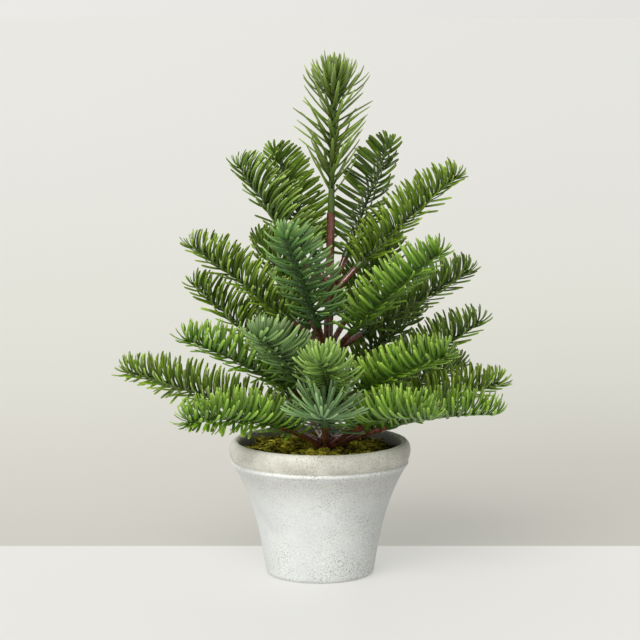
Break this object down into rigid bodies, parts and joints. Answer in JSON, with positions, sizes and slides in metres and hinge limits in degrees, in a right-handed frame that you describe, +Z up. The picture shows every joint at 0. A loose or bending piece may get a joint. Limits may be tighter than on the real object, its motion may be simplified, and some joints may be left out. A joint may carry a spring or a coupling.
{
  "type": "artificial tabletop tree",
  "caption": "Small artificial fir with bendable moulded sprays in tiers on a leaning trunk, set in moss in a flared glazed pot with a rounded rim.",
  "frame": {"origin": "centre of the pot's underside, on the surface that it stands on", "axes": "+Z up, +X to the viewer's right and the way the trunk leans, +Y to the back"},
  "size_m": [0.3478, 0.2973, 0.4431],
  "materials": {
    "glaze": "matte speckled glaze",
    "filler": "coarse, hidden under the moss",
    "moss": "fibrous, matt",
    "steel_wire": "drawn wire",
    "bark_brown": "satin moulded bark",
    "needle_green": "satin moulded needles"
  },
  "bodies": {
    "pot_and_trunk": {"pot": "glaze", "filler_plug": "filler", "moss_layer": "moss", "trunk_rod": "steel_wire", "trunk_lower": "bark_brown", "trunk_middle": "bark_brown", "trunk_upper": "bark_brown"},
    "tier1_back_left": {"tier1_back_left_stem": "bark_brown", "tier1_back_left_spray": "needle_green"},
    "tier1_back_right": {"tier1_back_right_stem": "bark_brown", "tier1_back_right_spray": "needle_green"},
    "tier1_left": {"tier1_left_stem": "bark_brown", "tier1_left_spray": "needle_green"},
    "tier1_right": {"tier1_right_stem": "bark_brown", "tier1_right_spray": "needle_green"},
    "tier2_back_left": {"tier2_back_left_stem": "bark_brown", "tier2_back_left_spray": "needle_green"},
    "tier2_back_right": {"tier2_back_right_stem": "bark_brown", "tier2_back_right_spray": "needle_green"},
    "tier2_front": {"tier2_front_stem": "bark_brown", "tier2_front_spray": "needle_green"},
    "tier2_left": {"tier2_left_stem": "bark_brown", "tier2_left_spray": "needle_green"},
    "tier2_right_front": {"tier2_right_front_stem": "bark_brown", "tier2_right_front_spray": "needle_green"},
    "tier2_right": {"tier2_right_stem": "bark_brown", "tier2_right_spray": "needle_green"},
    "tier3_back_left": {"tier3_back_left_stem": "bark_brown", "tier3_back_left_spray": "needle_green"},
    "tier3_back_right": {"tier3_back_right_stem": "bark_brown", "tier3_back_right_spray": "needle_green"},
    "tier3_front": {"tier3_front_stem": "bark_brown", "tier3_front_spray": "needle_green"},
    "tier3_front_left": {"tier3_front_left_stem": "bark_brown", "tier3_front_left_spray": "needle_green"},
    "tier3_left_high": {"tier3_left_high_stem": "bark_brown", "tier3_left_high_spray": "needle_green"},
    "tier3_left_low": {"tier3_left_low_stem": "bark_brown", "tier3_left_low_spray": "needle_green"},
    "tier3_right_front": {"tier3_right_front_stem": "bark_brown", "tier3_right_front_spray": "needle_green"},
    "tier3_right": {"tier3_right_stem": "bark_brown", "tier3_right_spray": "needle_green"},
    "tier4_back": {"tier4_back_stem": "bark_brown", "tier4_back_spray": "needle_green"},
    "tier4_back_right": {"tier4_back_right_stem": "bark_brown", "tier4_back_right_spray": "needle_green"},
    "tier4_front": {"tier4_front_stem": "bark_brown", "tier4_front_spray": "needle_green"},
    "tier4_left_front": {"tier4_left_front_stem": "bark_brown", "tier4_left_front_spray": "needle_green"},
    "tier4_left": {"tier4_left_stem": "bark_brown", "tier4_left_spray": "needle_green"},
    "tier4_right_front": {"tier4_right_front_stem": "bark_brown", "tier4_right_front_spray": "needle_green"},
    "tier4_right": {"tier4_right_stem": "bark_brown", "tier4_right_spray": "needle_green"},
    "tier4_right_low": {"tier4_right_low_stem": "bark_brown", "tier4_right_low_spray": "needle_green"},
    "leader": {"leader_spray": "needle_green"}
  },
  "joints": [
    {"name": "tier1_back_left_bend", "type": "hinge", "parent": "pot_and_trunk", "child": "tier1_back_left", "pos_m": [0.00302, 0.00654, 0.25507], "axis": [0.7878, 0.6157, -0.0172], "range_deg": [-15, 6]},
    {"name": "tier1_back_right_bend", "type": "hinge", "parent": "pot_and_trunk", "child": "tier1_back_right", "pos_m": [0.01319, 0.00654, 0.25285], "axis": [0.7878, -0.6157, -0.0172], "range_deg": [-15, 8]},
    {"name": "tier1_left_bend", "type": "hinge", "parent": "pot_and_trunk", "child": "tier1_left", "pos_m": [-0.00022, 0.00101, 0.25014], "axis": [0.1218, 0.9925, -0.0027], "range_deg": [-15, 8]},
    {"name": "tier1_right_bend", "type": "hinge", "parent": "pot_and_trunk", "child": "tier1_right", "pos_m": [0.01606, 0.00187, 0.24779], "axis": [0.2249, -0.9744, -0.0049], "range_deg": [-15, 6]},
    {"name": "tier2_back_left_bend", "type": "hinge", "parent": "pot_and_trunk", "child": "tier2_back_left", "pos_m": [0.00253, 0.00762, 0.20007], "axis": [0.8658, 0.5, -0.0189], "range_deg": [-12, 10]},
    {"name": "tier2_back_right_bend", "type": "hinge", "parent": "pot_and_trunk", "child": "tier2_back_right", "pos_m": [0.01106, 0.00777, 0.19989], "axis": [0.8827, -0.4695, -0.0193], "range_deg": [-12, 12]},
    {"name": "tier2_front_bend", "type": "hinge", "parent": "pot_and_trunk", "child": "tier2_front", "pos_m": [0.00361, -0.00816, 0.19905], "axis": [-0.927, 0.3746, 0.0202], "range_deg": [-12, 12]},
    {"name": "tier2_left_bend", "type": "hinge", "parent": "pot_and_trunk", "child": "tier2_left", "pos_m": [-0.00185, 0.00061, 0.20017], "axis": [0.0697, 0.9976, -0.0015], "range_deg": [-8, 12]},
    {"name": "tier2_right_front_bend", "type": "hinge", "parent": "pot_and_trunk", "child": "tier2_right_front", "pos_m": [0.01396, -0.00517, 0.19582], "axis": [-0.5876, -0.809, 0.0128], "range_deg": [-12, 12]},
    {"name": "tier2_right_bend", "type": "hinge", "parent": "pot_and_trunk", "child": "tier2_right", "pos_m": [0.01495, 0.0033, 0.1938], "axis": [0.3745, -0.9272, -0.0082], "range_deg": [-12, 12]},
    {"name": "tier3_back_left_bend", "type": "hinge", "parent": "pot_and_trunk", "child": "tier3_back_left", "pos_m": [0.00161, 0.00804, 0.15208], "axis": [0.8827, 0.4695, -0.0193], "range_deg": [-12, 12]},
    {"name": "tier3_back_right_bend", "type": "hinge", "parent": "pot_and_trunk", "child": "tier3_back_right", "pos_m": [0.01148, 0.00717, 0.15186], "axis": [0.7878, -0.6157, -0.0172], "range_deg": [-12, 12]},
    {"name": "tier3_front_bend", "type": "hinge", "parent": "pot_and_trunk", "child": "tier3_front", "pos_m": [0.00634, -0.00908, 0.14397], "axis": [-0.9973, -0.0698, 0.0218], "range_deg": [-6, 8]},
    {"name": "tier3_front_left_bend", "type": "hinge", "parent": "pot_and_trunk", "child": "tier3_front_left", "pos_m": [0.00159, -0.00804, 0.15108], "axis": [-0.8827, 0.4695, 0.0193], "range_deg": [-12, 12]},
    {"name": "tier3_left_high_bend", "type": "hinge", "parent": "pot_and_trunk", "child": "tier3_left_high", "pos_m": [-0.00287, 0.00266, 0.15018], "axis": [0.2923, 0.9563, -0.0064], "range_deg": [-12, 6]},
    {"name": "tier3_left_low_bend", "type": "hinge", "parent": "pot_and_trunk", "child": "tier3_left_low", "pos_m": [-0.0025, -0.00385, 0.14617], "axis": [-0.4225, 0.9063, 0.0092], "range_deg": [-12, 12]},
    {"name": "tier3_right_front_bend", "type": "hinge", "parent": "pot_and_trunk", "child": "tier3_right_front", "pos_m": [0.01286, -0.00573, 0.14783], "axis": [-0.6292, -0.7771, 0.0137], "range_deg": [-7, 12]},
    {"name": "tier3_right_bend", "type": "hinge", "parent": "pot_and_trunk", "child": "tier3_right", "pos_m": [0.01479, 0.00158, 0.14979], "axis": [0.1736, -0.9848, -0.0038], "range_deg": [-9, 9]},
    {"name": "tier4_back_bend", "type": "hinge", "parent": "pot_and_trunk", "child": "tier4_back", "pos_m": [0.00226, 0.00865, 0.11506], "axis": [0.9508, 0.309, -0.0207], "range_deg": [-10, 14]},
    {"name": "tier4_back_right_bend", "type": "hinge", "parent": "pot_and_trunk", "child": "tier4_back_right", "pos_m": [0.01139, 0.00655, 0.11486], "axis": [0.7192, -0.6947, -0.0157], "range_deg": [-10, 14]},
    {"name": "tier4_front_bend", "type": "hinge", "parent": "pot_and_trunk", "child": "tier4_front", "pos_m": [0.00467, -0.00909, 0.111], "axis": [-0.9992, 0.0349, 0.0218], "range_deg": [-10, 6]},
    {"name": "tier4_left_front_bend", "type": "hinge", "parent": "pot_and_trunk", "child": "tier4_left_front", "pos_m": [-0.00163, -0.00621, 0.11314], "axis": [-0.6818, 0.7314, 0.0149], "range_deg": [-10, 10]},
    {"name": "tier4_left_bend", "type": "hinge", "parent": "pot_and_trunk", "child": "tier4_left", "pos_m": [-0.00392, 0.00142, 0.11519], "axis": [0.1564, 0.9877, -0.0034], "range_deg": [-10, 14]},
    {"name": "tier4_right_front_bend", "type": "hinge", "parent": "pot_and_trunk", "child": "tier4_right_front", "pos_m": [0.01063, -0.00717, 0.11287], "axis": [-0.7878, -0.6157, 0.0172], "range_deg": [-10, 7]},
    {"name": "tier4_right_bend", "type": "hinge", "parent": "pot_and_trunk", "child": "tier4_right", "pos_m": [0.01392, 0.0022, 0.1158], "axis": [0.2419, -0.9703, -0.0053], "range_deg": [-10, 7]},
    {"name": "tier4_right_low_bend", "type": "hinge", "parent": "pot_and_trunk", "child": "tier4_right_low", "pos_m": [0.01355, -0.00311, 0.11181], "axis": [-0.3419, -0.9397, 0.0075], "range_deg": [-10, 10]},
    {"name": "leader_bend", "type": "hinge", "parent": "pot_and_trunk", "child": "leader", "pos_m": [0.00939, 0, 0.31295], "axis": [0, 1, 0], "range_deg": [-15, 15]}
  ]
}
